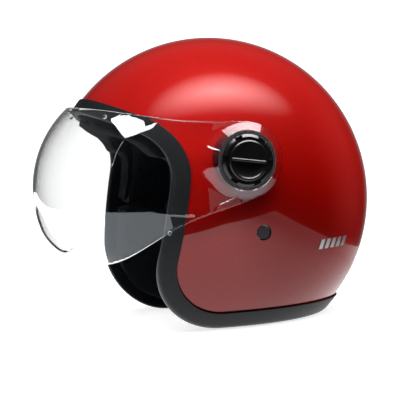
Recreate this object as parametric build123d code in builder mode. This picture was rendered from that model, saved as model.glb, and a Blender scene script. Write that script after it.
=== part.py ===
from build123d import *

import math
import os

os.makedirs("parts", exist_ok=True)

# Open face motorcycle helmet. Millimetres, +Z up, the wearer looks along -Y and the wearer's
# left is +X. The origin is on the plane that the rubber rim rests on, under the middle of the
# helmet's length. Lengths called "from the shell centre" are measured in the side view, first
# towards the nape (+Y) and then up (+Z).

# ---------------------------------------------------------------- driving dimensions
shell_half_width = 121.0
shell_half_length = 140.0
shell_half_height = 139.0
shell_wall = 3.5

trim_band = 14.0                # width of the rubber edging over the paint
trim_proud = 1.6                # how far its outer lip stands over the paint
trim_inner_depth = 6.0          # paint to the face of its inner lip
rim_in_channel = 10.0           # how far the shell's cut edge runs into the edging

# The edge of the paint, from the shell centre: brow line, cheek line and bottom line.
brow_start = (-200.0, 141.2)
temple_corner = (-40.7, 57.8)
cheek_corner = (-67.7, -89.0)
bottom_end = (200.0, -89.0)
temple_radius = 50.0
cheek_radius = 40.0

pivot = (-3.9, 37.1)            # visor pivot axis, from the shell centre
rivet = (10.4, -22.8)           # chin strap rivet, from the shell centre

visor_wall = 2.0
visor_half_width = 124.5
visor_bow_radius = 91.0         # upright curve of the bubble at the middle
visor_bow_centre = (-61.4, 13.2)
ear_radius = 31.7
boss_face = 129.0               # outer face of the visor's raised pivot boss, from the middle
boss_top_radius = 24.8
boss_foot_radius = 30.8
boss_hole_radius = 17.0
bumper_radius = 2.0
upper_bumper = (67.0, 77.0)     # across the helmet, up from the shell centre
lower_bumper = (109.9, -18.0)

base_radius = 22.6
ring_radius = 21.3
ring_height = 2.2
ring_chamfer = (2.1, 1.5)       # across its face, down its side
cap_radius = 16.4
cap_face = 133.6
grip_tilt = -9.0                # the cap's grip ridge falls towards the nape
running_gap = 0.4
visor_skirt = 26.0              # how far the visor's cheeks run on behind the ears, before trimming

cavity_half = (83.0, 101.0, 100.0)      # space for the head, under the crown liner
liner_pad = 10.0
liner_gap = 0.3
pad_overhang = 8.0              # how far the pads run past the paint's edge, inside the edging
brow_overhang = 21.0            # the same over the brow, where the pad hangs below the edging
temple_step = 40.0              # the brow pad's overhang ends here
foam_foot = -5.0                # the side foam ends here and the cheek pads begin
cheek_pad_face = 63.5
cheek_pad_back = 32.0
nape_inner = (78.0, 86.0)

webbing_width = 22.0
webbing_thickness = 1.6
strap_axis = (8.0, -86.0)       # axis the buckled chin strap swings about, from the shell centre
strap_reach = 51.0
strap_bend = 30.0
strap_inset = 59.6              # middle of the moving webbing, from the middle of the helmet
hanger_inset = 62.0
link_radius = 2.5

# ---------------------------------------------------------------- derived places
centre_z = trim_band - cheek_corner[1]
visor_front = visor_bow_radius - visor_bow_centre[0]
centre_y = (visor_front - shell_half_length) / 2
centre = (0, centre_y, centre_z)
far = 260.0                     # longer than anything in the helmet
pivot_at = (0, centre_y + pivot[0], centre_z + pivot[1])
rivet_at = (0, centre_y + rivet[0], centre_z + rivet[1])
strap_at = (0, centre_y + strap_axis[0], centre_z + strap_axis[1])

side = Plane(origin=centre, x_dir=(0, 1, 0), z_dir=(1, 0, 0))
pivot_side = Plane(origin=pivot_at, x_dir=(0, 1, 0), z_dir=(1, 0, 0))
rivet_side = Plane(origin=rivet_at, x_dir=(0, 1, 0), z_dir=(1, 0, 0))
strap_side = Plane(origin=strap_at, x_dir=(0, 1, 0), z_dir=(1, 0, 0))
# the buckled strap lies towards the nape: x across the helmet, y along the strap's reach
strap_flat = Plane(origin=strap_at, x_dir=(1, 0, 0), z_dir=(0, 0, 1))


# ---------------------------------------------------------------- shared shapes
def ellipsoid(half_width, half_length, half_height):
    """Solid ellipsoid about the shell centre, its seam at the nape."""
    with BuildPart() as ball:
        Sphere(half_height, rotation=(0, 0, 90))
        scale(by=(half_width / half_height, half_length / half_height, 1))
    return ball.part.moved(Location(centre))


def skin(grow):
    """The shell's outer form, moved outwards by grow."""
    return ellipsoid(shell_half_width + grow, shell_half_length + grow, shell_half_height + grow)


def well(half_width, half_length, half_height):
    """Domed form open to the neck: half an ellipsoid on a straight elliptical wall."""
    with BuildPart() as form:
        add(ellipsoid(half_width, half_length, half_height))
        with BuildSketch(Plane(centre)):
            Ellipse(half_width, half_length)
        extrude(amount=-far)
    return form.part


def behind_edge(grow):
    """Everything above and behind the paint's edge line, moved grow towards the opening."""
    with BuildPart() as block:
        with BuildSketch(side):
            with BuildLine():
                FilletPolyline(
                    brow_start, temple_corner, cheek_corner, bottom_end,
                    radius=[temple_radius, cheek_radius],
                )
                Polyline(bottom_end, (bottom_end[0], far), (brow_start[0], far), brow_start)
            make_face()
            if grow:
                offset(amount=grow)
        extrude(amount=far, both=True)
    return block.part


def side_block(y_low, y_high, z_low, z_high):
    """Block across the helmet, given in the side view from the shell centre."""
    with BuildPart() as block:
        with BuildSketch(side):
            with Locations(((y_low + y_high) / 2, (z_low + z_high) / 2)):
                Rectangle(y_high - y_low, z_high - z_low)
        extrude(amount=far, both=True)
    return block.part


def disc(plane, start, end, radius, end_radius=None):
    """Round boss along the plane's axis, tapered when end_radius is given."""
    with BuildPart() as puck:
        with BuildSketch(plane.offset(start)):
            Circle(radius)
        if end_radius is not None:
            with BuildSketch(plane.offset(end)):
                Circle(end_radius)
            loft()
        else:
            extrude(amount=end - start)
    return puck.part


def visor_reach(height, inset):
    """How far the bubble stands in front of the pivot axis at a height over the shell centre."""
    drop = height - visor_bow_centre[1]
    return math.sqrt((visor_bow_radius - inset) ** 2 - drop ** 2) - visor_bow_centre[0] + pivot[0]


def visor_form(inset):
    """Filled bubble: flat cheeks beside the pivots, an elliptical nose, bowed upright."""
    half_width = visor_half_width - inset
    back = centre_y + ear_radius + visor_skirt
    with BuildPart() as form:
        for height in (-75, -50, -25, 0, visor_bow_centre[1], 30, 50, 70, 85, 98):
            reach = visor_reach(height, inset)
            with BuildSketch(Plane((0, pivot_at[1], centre_z + height))):
                with BuildLine():
                    EllipticalCenterArc((0, 0), half_width, reach, start_angle=180, arc_size=180)
                    Polyline(
                        (half_width, 0), (half_width, back), (-half_width, back),
                        (-half_width, 0),
                    )
                make_face()
        loft()
    return form.part


def visor_outline():
    """Side view of the visor: top edge, round ear, lower edge with its lobe and nose arch."""
    ear_top = (pivot[0], pivot[1] + ear_radius)
    ear_back = (pivot[0] + ear_radius, pivot[1])
    foot_angle = math.radians(-71)
    ear_foot = (
        pivot[0] + ear_radius * math.cos(foot_angle),
        pivot[1] + ear_radius * math.sin(foot_angle),
    )
    with BuildPart() as block:
        with BuildSketch(side):
            with BuildLine():
                Line((-175, 98.5), (-118, 86.2))
                Spline(
                    (-118, 86.2), (-60, 73.2), ear_top,
                    tangents=((57, -12.3), (1, 0)),
                )
                ThreePointArc(ear_top, ear_back, ear_foot)
                Spline(
                    ear_foot, (-55.7, -12.2), (-86.7, -31.0), (-118.5, -43.9), (-133.0, -34.6),
                    (-144.3, -21.5), (-150.5, -5.1),
                    tangents=((-1, -0.344), (-0.25, 1)),
                )
                Polyline((-150.5, -5.1), (-175, 92.9), (-175, 98.5))
            make_face()
        extrude(amount=far, both=True)
    return block.part


def save(part, name):
    part.label = name
    export_step(part, "parts/" + name + ".step")


# ---------------------------------------------------------------- shell and its edging
hub_bore_radius = 2.8
rivet_hole_radius = 6.2

with BuildPart() as shell:
    add(skin(0))
    add(skin(-shell_wall), mode=Mode.SUBTRACT)
    add(behind_edge(rim_in_channel), mode=Mode.INTERSECT)
    add(disc(pivot_side, -far, far, hub_bore_radius), mode=Mode.SUBTRACT)
    add(disc(rivet_side, -far, far, rivet_hole_radius), mode=Mode.SUBTRACT)

with BuildPart() as edge_trim:
    add(skin(trim_proud))
    add(skin(-trim_inner_depth), mode=Mode.SUBTRACT)
    add(behind_edge(trim_band), mode=Mode.INTERSECT)
    add(behind_edge(0), mode=Mode.SUBTRACT)
    add(shell.part, mode=Mode.SUBTRACT)

# ---------------------------------------------------------------- foam and padding
nut_flange_radius = 9.0
foam_back = shell_wall + liner_gap
foam_half = tuple(half + liner_pad for half in cavity_half)
liner_half = tuple(half - liner_gap for half in foam_half)

with BuildPart() as eps_liner:
    add(skin(-foam_back))
    add(well(*foam_half), mode=Mode.SUBTRACT)
    add(behind_edge(-1.5), mode=Mode.INTERSECT)
    add(side_block(-far, cheek_pad_back, -far, foam_foot), mode=Mode.SUBTRACT)
    add(disc(pivot_side, -far, far, nut_flange_radius + 1), mode=Mode.SUBTRACT)

with BuildPart() as crown_liner:
    add(well(*liner_half))
    add(well(*cavity_half), mode=Mode.SUBTRACT)
    add(behind_edge(-1.5), mode=Mode.INTERSECT)
    add(side_block(-far, cheek_pad_back, -far, foam_foot), mode=Mode.SUBTRACT)
    add(side_block(-far, far, -far, -50), mode=Mode.SUBTRACT)

with BuildPart() as brow_pad:
    add(skin(-trim_inner_depth - liner_gap))
    add(well(*cavity_half), mode=Mode.SUBTRACT)
    add(behind_edge(brow_overhang), mode=Mode.INTERSECT)
    add(behind_edge(-1.2), mode=Mode.SUBTRACT)
    add(side_block(-far, far, -far, foam_foot), mode=Mode.SUBTRACT)
    with BuildPart(mode=Mode.SUBTRACT):
        add(side_block(-far, far, -far, temple_step))
        add(behind_edge(pad_overhang), mode=Mode.SUBTRACT)

with BuildPart() as cheek_pad_left:
    add(skin(-trim_inner_depth - 4.2))
    add(behind_edge(pad_overhang), mode=Mode.INTERSECT)
    add(side_block(-far, cheek_pad_back - 1, -far, foam_foot - 1), mode=Mode.INTERSECT)
    with BuildSketch(side.offset(cheek_pad_face)):
        Rectangle(far, far)
    extrude(amount=far, mode=Mode.INTERSECT)
    add(disc(rivet_side, cheek_pad_face + 35, far, 8), mode=Mode.SUBTRACT)

with BuildPart() as neck_roll:
    add(skin(-trim_inner_depth - liner_gap))
    add(well(*liner_half), mode=Mode.INTERSECT)
    with BuildSketch(Plane(centre)):
        Ellipse(*nape_inner)
    extrude(amount=far, both=True, mode=Mode.SUBTRACT)
    add(side_block(cheek_pad_back + 1, far, -97, -51), mode=Mode.INTERSECT)

# ---------------------------------------------------------------- visor
with BuildPart() as visor:
    add(visor_form(0))
    add(visor_form(visor_wall), mode=Mode.SUBTRACT)
    add(visor_outline(), mode=Mode.INTERSECT)
    for x_sign in (1, -1):
        boss_foot = x_sign * (visor_half_width - 3 * visor_wall)
        slope = (boss_foot_radius - boss_top_radius) / (boss_face - visor_half_width)
        foot_radius = boss_top_radius + slope * (boss_face - abs(boss_foot))
        add(disc(pivot_side, x_sign * (visor_half_width - 1), x_sign * boss_face,
                 boss_foot_radius + slope, boss_top_radius))
        add(disc(pivot_side, boss_foot, x_sign * (boss_face - visor_wall),
                 foot_radius - visor_wall, boss_top_radius - visor_wall + 0.5),
            mode=Mode.SUBTRACT)
        add(disc(pivot_side, 0, x_sign * far, boss_hole_radius), mode=Mode.SUBTRACT)

with BuildPart() as visor_bumpers:
    for across, height in (upper_bumper, lower_bumper):
        nose = visor_reach(height, visor_wall)
        half_width = visor_half_width - visor_wall
        forward = nose * math.sqrt(1 - (across / half_width) ** 2)
        with Locations((-across, pivot_at[1] - forward, centre_z + height)):
            Sphere(bumper_radius)
    add(visor_form(visor_wall + 0.05), mode=Mode.INTERSECT)
    mirror(about=Plane.YZ)

# ---------------------------------------------------------------- pivot hardware, left side
plateau_under = boss_face - visor_wall
washer_thickness = 0.4
base_top = plateau_under - running_gap - washer_thickness
hub_top = boss_face + 0.2
counterbore_radius = 6.0
counterbore_floor = hub_top - 3.8

with BuildPart() as pivot_base:
    add(disc(pivot_side, 90, base_top, base_radius))
    add(disc(pivot_side, base_top, hub_top, boss_hole_radius - running_gap))
    add(disc(pivot_side, counterbore_floor, hub_top, counterbore_radius), mode=Mode.SUBTRACT)
    add(disc(pivot_side, 0, far, hub_bore_radius), mode=Mode.SUBTRACT)
    add(skin(0), mode=Mode.SUBTRACT)

with BuildPart() as wave_washer:
    add(disc(pivot_side, base_top, base_top + washer_thickness, base_radius))
    add(disc(pivot_side, base_top, hub_top, boss_hole_radius - running_gap), mode=Mode.SUBTRACT)

ring_floor = boss_face + running_gap
ring_top = ring_floor + ring_height
ring_shoulder = ring_top - ring_chamfer[1]
notch_depth = 1.8
with BuildPart() as pivot_ring:
    add(disc(pivot_side, ring_floor, ring_shoulder, ring_radius))
    add(disc(pivot_side, ring_shoulder, ring_top, ring_radius, ring_radius - ring_chamfer[0]))
    add(disc(pivot_side, 0, far, cap_radius + 0.3), mode=Mode.SUBTRACT)
    with BuildSketch(pivot_side.offset(ring_top)):
        with PolarLocations(ring_radius - 2, 6, start_angle=grip_tilt):
            Rectangle(2.2, 5)
    extrude(amount=-notch_depth, mode=Mode.SUBTRACT)

screw_head_radius = 5.0
screw_radius = 2.5
with BuildPart() as pivot_screw:
    add(disc(pivot_side, counterbore_floor, counterbore_floor + 2.8, screw_head_radius))
    add(disc(pivot_side, 100, counterbore_floor, screw_radius))
    with BuildSketch(pivot_side.offset(counterbore_floor + 2.8)):
        SlotOverall(6, 1.4)
        SlotOverall(6, 1.4, rotation=90)
    extrude(amount=-1.6, mode=Mode.SUBTRACT)

nut_face = 109.4
with BuildPart() as pivot_nut:
    add(disc(pivot_side, nut_face - 1.4, nut_face, nut_flange_radius - 0.5))
    add(disc(pivot_side, 101, nut_face - 1.4, 4))
    add(disc(pivot_side, 0, far, screw_radius), mode=Mode.SUBTRACT)

tilt = math.radians(grip_tilt)
grip = Plane(origin=pivot_at, x_dir=(0, math.cos(tilt), math.sin(tilt)), z_dir=(1, 0, 0))
with BuildPart() as pivot_cap:
    add(disc(pivot_side, hub_top + 0.2, cap_face - 0.8, cap_radius))
    add(disc(pivot_side, cap_face - 0.8, cap_face, cap_radius, cap_radius - 0.8))
    with BuildSketch(grip.offset(cap_face)):
        with BuildLine():
            ThreePointArc((-14.2, -1), (0, -14.4), (14.2, -1))
            Line((14.2, -1), (-14.2, -1))
        make_face()
    extrude(amount=-2.4, taper=12, mode=Mode.SUBTRACT)
    with BuildSketch(grip.offset(cap_face - 0.01)):
        with Locations((0, 0.1)):
            Rectangle(29.6, 1.3)
    extrude(amount=0.5)

# ---------------------------------------------------------------- chin strap anchor, left side
with BuildPart() as strap_anchor:
    add(skin(-shell_wall - 0.2))
    add(skin(-shell_wall - 2.2), mode=Mode.SUBTRACT)
    with BuildSketch(rivet_side):
        with Locations((0, -8)):
            SlotOverall(40, 24, rotation=90)
    extrude(amount=far, mode=Mode.INTERSECT)
    add(disc(rivet_side, 0, far, link_radius), mode=Mode.SUBTRACT)

rivet_seat = 116.4
with BuildPart() as strap_rivet:
    add(disc(rivet_side, rivet_seat, rivet_seat + 1.2, 5.2))
    add(disc(rivet_side, 108, rivet_seat, link_radius))
    add(disc(rivet_side, 106.8, 108, 4.5))

hanger_foot = -98.6
with BuildPart() as strap_hanger:
    with BuildSketch(Plane(origin=(0, strap_at[1], centre_z), x_dir=(1, 0, 0), z_dir=(0, -1, 0))):
        with BuildLine():
            down = ThreePointArc((111.7, -14), (100.0, -61), (80.6, -91))
            FilletPolyline(
                down @ 1, (74.0, hanger_foot), (hanger_inset, hanger_foot),
                (hanger_inset, strap_axis[1]), radius=[5, 3],
            )
            offset(amount=webbing_thickness / 2, side=Side.BOTH)
        make_face()
    extrude(amount=webbing_width / 2, both=True)
    add(disc(strap_side, hanger_inset - webbing_thickness / 2,
             hanger_inset + webbing_thickness / 2, webbing_width / 2))
    add(disc(strap_side, 0, 70, link_radius), mode=Mode.SUBTRACT)
    add(disc(rivet_side, 90, far, link_radius), mode=Mode.SUBTRACT)

with BuildPart() as link_rivet:
    add(disc(strap_side, 57.0, 58.4, 4.6, 5.0))
    add(disc(strap_side, 58.4, 62.8, link_radius))
    add(disc(strap_side, 62.8, 63.3, 4.0))

# ---------------------------------------------------------------- buckled chin strap
link_clearance = 0.08
buckle_end = -25.0             # the buckle's own length across the helmet
tongue_end = 23.0
webbing_end = webbing_thickness / 2 + 0.1       # the webbing's rounded end and its gap

with BuildPart() as strap_webbing_left:
    with BuildSketch(strap_flat):
        with BuildLine():
            Line((strap_inset, 0), (strap_inset, strap_reach - strap_bend))
            bend = CenterArc(
                (strap_inset - strap_bend, strap_reach - strap_bend), strap_bend, 0, 90
            )
            Line(bend @ 1, (tongue_end + webbing_end, strap_reach))
            offset(amount=webbing_thickness / 2, side=Side.BOTH)
        make_face()
    extrude(amount=webbing_width / 2, both=True)
    add(disc(strap_side, strap_inset - webbing_thickness / 2,
             strap_inset + webbing_thickness / 2, webbing_width / 2))
    add(disc(strap_side, 0, 70, link_radius + link_clearance), mode=Mode.SUBTRACT)

with BuildPart() as strap_webbing_right:
    with BuildSketch(strap_flat):
        with BuildLine():
            Line((-strap_inset, 0), (-strap_inset, strap_reach - strap_bend))
            bend = CenterArc(
                (strap_bend - strap_inset, strap_reach - strap_bend), strap_bend, 180, -90
            )
            Line(bend @ 1, (buckle_end - webbing_end, strap_reach))
            offset(amount=webbing_thickness / 2, side=Side.BOTH)
        make_face()
    extrude(amount=webbing_width / 2, both=True)
    add(disc(strap_side, -strap_inset - webbing_thickness / 2,
             -strap_inset + webbing_thickness / 2, webbing_width / 2))
    add(disc(strap_side, -70, 0, link_radius + link_clearance), mode=Mode.SUBTRACT)

# ---------------------------------------------------------------- ratchet buckle
# drawn from above: x across the helmet, y towards the nape from the webbing's middle
buckle_flat = Plane(
    origin=(0, strap_at[1] + strap_reach, strap_at[2]), x_dir=(1, 0, 0), z_dir=(0, 0, 1)
)
buckle_half = 13.5
buckle_wall = 1.5
buckle_floor = -4.0
buckle_front = 14.0
floor_thickness = 1.6
end_block = 6.0
lever_axis = (-14, 3)
lever_hub = 2.6
pin_radius = 1.5
tongue_half = 10.0
tongue_thickness = 2.2
tongue_tail = -10.0
tooth_pitch = 2.4
tooth_count = 9

with BuildPart() as buckle_pin:
    with BuildSketch(buckle_flat.offset(-buckle_half)):
        with Locations(lever_axis):
            Circle(pin_radius)
    extrude(amount=2 * buckle_half)

with BuildPart() as buckle_base:
    with BuildSketch(buckle_flat):
        with BuildLine():
            Polyline(
                (buckle_end, buckle_floor), (buckle_front, buckle_floor), (buckle_front, 0.6),
                (8, 2.5), (-12, 5.8), (-20, 5.8), (buckle_end, 3), (buckle_end, buckle_floor),
            )
        make_face()
    extrude(amount=buckle_half, both=True)
    channel_length = buckle_front - buckle_end - end_block
    channel_depth = -buckle_floor - floor_thickness
    with BuildSketch(buckle_flat):
        with Locations((buckle_front - channel_length / 2, end_block - channel_depth)):
            Rectangle(channel_length, 2 * end_block)
    extrude(amount=buckle_half - buckle_wall, both=True, mode=Mode.SUBTRACT)
    add(buckle_pin.part, mode=Mode.SUBTRACT)

with BuildPart() as buckle_tongue:
    with BuildSketch(buckle_flat):
        with Locations(((tongue_tail + tongue_end) / 2, 0)):
            Rectangle(tongue_end - tongue_tail, tongue_thickness)
        for tooth in range(tooth_count):
            with Locations((tongue_tail + 1 + tooth_pitch * tooth, tongue_thickness / 2)):
                Polygon((-1, -0.2), (1, -0.2), (-1, 0.8), align=None)
    extrude(amount=tongue_half, both=True)

with BuildPart() as buckle_lever:
    with BuildSketch(buckle_flat):
        with BuildLine():
            Polyline(
                (-14, 5.6), (10, 4.6), (19, 7.4), (19.6, 6), (10, 2.6), (-6, 2.6), (-6.6, 2.2),
                (-9.5, 2.2), (-10.5, 3), (-14, 5.6),
            )
        make_face()
        with Locations(lever_axis):
            Circle(lever_hub)
    extrude(amount=buckle_half - buckle_wall - 0.5, both=True)
    with BuildSketch(buckle_flat.offset(-buckle_half)):
        with Locations(lever_axis):
            Circle(pin_radius + link_clearance)
    extrude(amount=2 * buckle_half, mode=Mode.SUBTRACT)

# ---------------------------------------------------------------- slider on the left webbing
slider_at = (58.95, 16.0)       # its outer bar is the thinner one, so that it clears the hanger
slider_size = (3.9, 9.0)
with BuildPart() as strap_slider:
    with BuildSketch(strap_flat):
        with Locations(slider_at):
            Rectangle(*slider_size)
    extrude(amount=buckle_half, both=True)
    with BuildSketch(strap_flat):
        with Locations((strap_inset, slider_at[1])):
            Rectangle(webbing_thickness, slider_size[1])
    extrude(amount=webbing_width / 2, both=True, mode=Mode.SUBTRACT)

# ---------------------------------------------------------------- side marks
bar_count = 5
bar_pitch = 6.2
bar_start = (66.0, -37.7)
bar_thickness = 0.25
with BuildPart() as side_mark:
    add(skin(bar_thickness))
    add(skin(0), mode=Mode.SUBTRACT)
    with BuildSketch(side):
        for bar in range(bar_count):
            with Locations((bar_start[0] + bar_pitch * bar, bar_start[1])):
                Polygon((-3.4, -4), (0.4, -4), (3.4, 4), (-0.4, 4), align=None)
    extrude(amount=far, mode=Mode.INTERSECT)

# ---------------------------------------------------------------- export
single = {
    "shell": shell,
    "edge_trim": edge_trim,
    "eps_liner": eps_liner,
    "crown_liner": crown_liner,
    "brow_pad": brow_pad,
    "neck_roll": neck_roll,
    "visor": visor,
    "visor_bumpers": visor_bumpers,
    "strap_webbing_left": strap_webbing_left,
    "strap_webbing_right": strap_webbing_right,
    "buckle_base": buckle_base,
    "buckle_pin": buckle_pin,
    "buckle_tongue": buckle_tongue,
    "buckle_lever": buckle_lever,
    "strap_slider": strap_slider,
}
paired = {
    "cheek_pad": cheek_pad_left,
    "pivot_base": pivot_base,
    "wave_washer": wave_washer,
    "pivot_ring": pivot_ring,
    "pivot_screw": pivot_screw,
    "pivot_nut": pivot_nut,
    "pivot_cap": pivot_cap,
    "strap_anchor": strap_anchor,
    "strap_rivet": strap_rivet,
    "strap_hanger": strap_hanger,
    "link_rivet": link_rivet,
    "side_mark": side_mark,
}
for name, builder in single.items():
    save(builder.part, name)
for name, builder in paired.items():
    save(builder.part, name + "_left")
    with BuildPart() as other_side:
        mirror(builder.part, about=Plane.YZ)
    save(other_side.part, name + "_right")
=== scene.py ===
import math

import bmesh
import bpy
import numpy as np
from mathutils import Matrix, Vector


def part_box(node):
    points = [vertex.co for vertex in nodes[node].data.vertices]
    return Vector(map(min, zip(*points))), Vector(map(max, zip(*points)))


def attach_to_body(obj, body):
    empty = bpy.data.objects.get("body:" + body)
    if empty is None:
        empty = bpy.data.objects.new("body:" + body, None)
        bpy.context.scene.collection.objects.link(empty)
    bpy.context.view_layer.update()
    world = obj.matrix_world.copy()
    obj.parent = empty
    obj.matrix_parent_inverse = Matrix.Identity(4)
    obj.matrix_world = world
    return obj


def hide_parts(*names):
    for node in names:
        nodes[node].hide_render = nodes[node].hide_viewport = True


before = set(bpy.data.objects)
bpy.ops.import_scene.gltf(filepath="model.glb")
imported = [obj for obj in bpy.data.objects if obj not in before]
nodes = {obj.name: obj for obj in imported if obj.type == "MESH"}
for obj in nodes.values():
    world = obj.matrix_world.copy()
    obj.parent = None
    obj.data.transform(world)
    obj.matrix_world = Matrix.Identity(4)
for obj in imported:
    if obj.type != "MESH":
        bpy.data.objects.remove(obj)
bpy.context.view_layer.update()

# Open face motorcycle helmet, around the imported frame. Metres, +Z up, the wearer looks along -Y.
# A "side view" place is (y, z) from the shell's centre, y towards the nape and z up.

# ---------------------------------------------------------------- dimensions, as in the CAD
SHELL_HALF = np.array((0.121, 0.140, 0.139))
SHELL_WALL = 0.0035
TRIM_BAND = 0.014
TRIM_PROUD = 0.0016
TRIM_DEPTH = 0.006
RIM_IN_CHANNEL = 0.010
EDGE_CORNERS = ((-0.200, 0.1412), (-0.0407, 0.0578), (-0.0677, -0.0890), (0.200, -0.0890))
EDGE_RADII = (0.050, 0.040)

VISOR_WALL = 0.002
VISOR_HALF_WIDTH = 0.1245
VISOR_BOW_RADIUS = 0.091
VISOR_BOW_CENTRE = (-0.0614, 0.0132)
EAR_RADIUS = 0.0317
BOSS_FACE = 0.129
BOSS_TOP_RADIUS = 0.0248
BOSS_FOOT_RADIUS = 0.0308
BOSS_HOLE_RADIUS = 0.017

RING_RADIUS = 0.0213
RING_BORE = 0.0167
RING_FACE = 0.1316
CAP_RADIUS = 0.0164
CAP_FACE = 0.1336
RING_CHAMFER = np.array((0.0021, 0.0015))
CAP_CHAMFER = np.array((0.0008, 0.0006))
KNOB_FLOOR = 0.1294
KNOB_CELL = 0.0008
GRIP_TILT = math.radians(-9)

RIVET_HOLE = 0.0062
HUB_BORE = 0.0028


def middle(node):
    low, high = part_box(node)
    return (low + high) / 2


shell_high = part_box("shell")[1]
CENTRE = np.array((0, shell_high.y - SHELL_HALF[1], shell_high.z - SHELL_HALF[2]))
PIVOT = np.array(middle("pivot_ring_left"))[1:] - CENTRE[1:]
RIVET = np.array(middle("strap_rivet_left"))[1:] - CENTRE[1:]


# ---------------------------------------------------------------- the shell's edge in side view
def turned_right(direction):
    return np.array((direction[1], -direction[0]))


def edge_parts():
    """Lines and arcs of the edge: corners, directions, and each corner's arc centre and sign."""
    corners = [np.array(c) for c in EDGE_CORNERS]
    ways = [(b - a) / np.linalg.norm(b - a) for a, b in zip(corners, corners[1:])]
    arcs = []
    for corner, into, out, radius in zip(corners[1:], ways, ways[1:], EDGE_RADII):
        bend = math.acos(np.clip(into @ out, -1, 1))
        side = 1 if turned_right(into) @ out > 0 else -1
        start = corner - into * radius * math.tan(bend / 2)
        arcs.append((start + side * radius * turned_right(into), radius, side, bend))
    return corners, ways, arcs


EDGE = edge_parts()


def past_edge(places):
    """Side view distance from the paint's edge, positive towards the opening."""
    corners, ways, arcs = EDGE
    lines = [(places - c) @ turned_right(w) for c, w in zip(corners, ways)]
    total = lines[0]
    for i, (centre, radius, side, _) in enumerate(arcs):
        from_centre = places - centre
        sharp = np.minimum(total, lines[i + 1]) if side > 0 else np.maximum(total, lines[i + 1])
        beyond = (from_centre @ ways[i] > 0) & (from_centre @ ways[i + 1] < 0)
        on_arc = side * (radius - np.linalg.norm(from_centre, axis=1))
        total = np.where(beyond, on_arc, sharp)
    return total


def edge_line(step=0.0005):
    """Points along the edge and, at each, the way to the opening."""
    corners, ways, arcs = EDGE
    places, outs = [], []

    def run_straight(start, end, out):
        for t in np.arange(0, 1, step / np.linalg.norm(end - start)):
            places.append(start + t * (end - start))
            outs.append(out)

    start = corners[0]
    for i, (centre, radius, side, bend) in enumerate(arcs):
        square = turned_right(ways[i])
        run_straight(start, centre - side * radius * square, square)
        for angle in np.arange(0, bend, step / radius):
            c, s = math.cos(angle), math.sin(angle) * side
            out = np.array((square[0] * c + square[1] * s, square[1] * c - square[0] * s))
            places.append(centre - side * radius * out)
            outs.append(out)
        start = centre - side * radius * turned_right(ways[i + 1])
    run_straight(start, corners[-1], turned_right(ways[-1]))
    return np.array(places), np.array(outs)


# ---------------------------------------------------------------- mesh tools
def linked(name, data):
    piece = bpy.data.objects.new(name, data)
    bpy.context.scene.collection.objects.link(piece)
    return piece


def mesh_object(name, verts, faces, material, sharp_angle=40):
    mesh = bpy.data.meshes.new(name)
    mesh.from_pydata([tuple(v) for v in verts], [], [list(f) for f in faces])
    mesh.validate()
    mesh.shade_smooth()
    mesh.set_sharp_from_angle(angle=math.radians(sharp_angle))
    mesh.materials.append(material)
    return linked(name, mesh)


def attach(piece, body, slot, *replaced):
    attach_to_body(piece, body)
    if replaced:
        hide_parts(*replaced)
    return piece


def coordinates(bm):
    return np.array([v.co for v in bm.verts]).reshape(-1, 3)


def cut_along(bm, field, snap):
    """Splits the faces along the line where field is zero and returns each vertex's value.
    Vertices nearer to the line than snap are moved onto it."""
    bm.verts.ensure_lookup_table()
    places = coordinates(bm)
    values = field(places)
    nudge = snap * 0.01
    slopes = np.stack([(field(places + nudge * e) - values) / nudge for e in np.eye(3)], axis=1)
    steep = np.maximum((slopes ** 2).sum(1), 1e-6)
    close = np.abs(values) < snap * np.minimum(1, np.sqrt(steep))
    for i in np.nonzero(close)[0]:
        bm.verts[i].co -= Vector(slopes[i] * values[i] / steep[i])
        values[i] = 0.0
    value = dict(zip(bm.verts, values))
    for edge in list(bm.edges):
        a, b = edge.verts
        if value[a] * value[b] < 0:
            new = bmesh.utils.edge_split(edge, a, value[a] / (value[a] - value[b]))[1]
            value[new] = 0.0
    for face in list(bm.faces):
        on_line = [v for v in face.verts if value[v] == 0.0]
        mixed = any(value[v] > 0 for v in face.verts) and any(value[v] < 0 for v in face.verts)
        if mixed and len(on_line) == 2 and bm.edges.get(on_line) is None:
            bmesh.utils.face_split(face, on_line[0], on_line[1])
    return value


def drop_below(bm, value):
    """Deletes the faces on the negative side of the last cut."""
    below = [f for f in bm.faces if any(value[v] < 0 for v in f.verts)]
    bmesh.ops.delete(bm, geom=below, context="FACES")


def grid_sheet(low, high, cell):
    """Flat sheet of square cells in the XY plane."""
    counts = [max(1, round((b - a) / cell)) for a, b in zip(low, high)]
    bm = bmesh.new()
    rows = [
        [bm.verts.new((x, y, 0)) for x in np.linspace(low[0], high[0], counts[0] + 1)]
        for y in np.linspace(low[1], high[1], counts[1] + 1)
    ]
    for near, further in zip(rows, rows[1:]):
        for i in range(counts[0]):
            bm.faces.new((near[i], near[i + 1], further[i + 1], further[i]))
    return bm


def put_places(bm, places, axis, sign):
    """Moves the sheet's vertices to places and turns its faces to look along sign on the axis."""
    for v, place in zip(bm.verts, places):
        v.co = Vector(place)
    bm.normal_update()
    if sign * sum(f.normal[axis] * f.calc_area() for f in bm.faces) < 0:
        bmesh.ops.reverse_faces(bm, faces=bm.faces)


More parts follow.
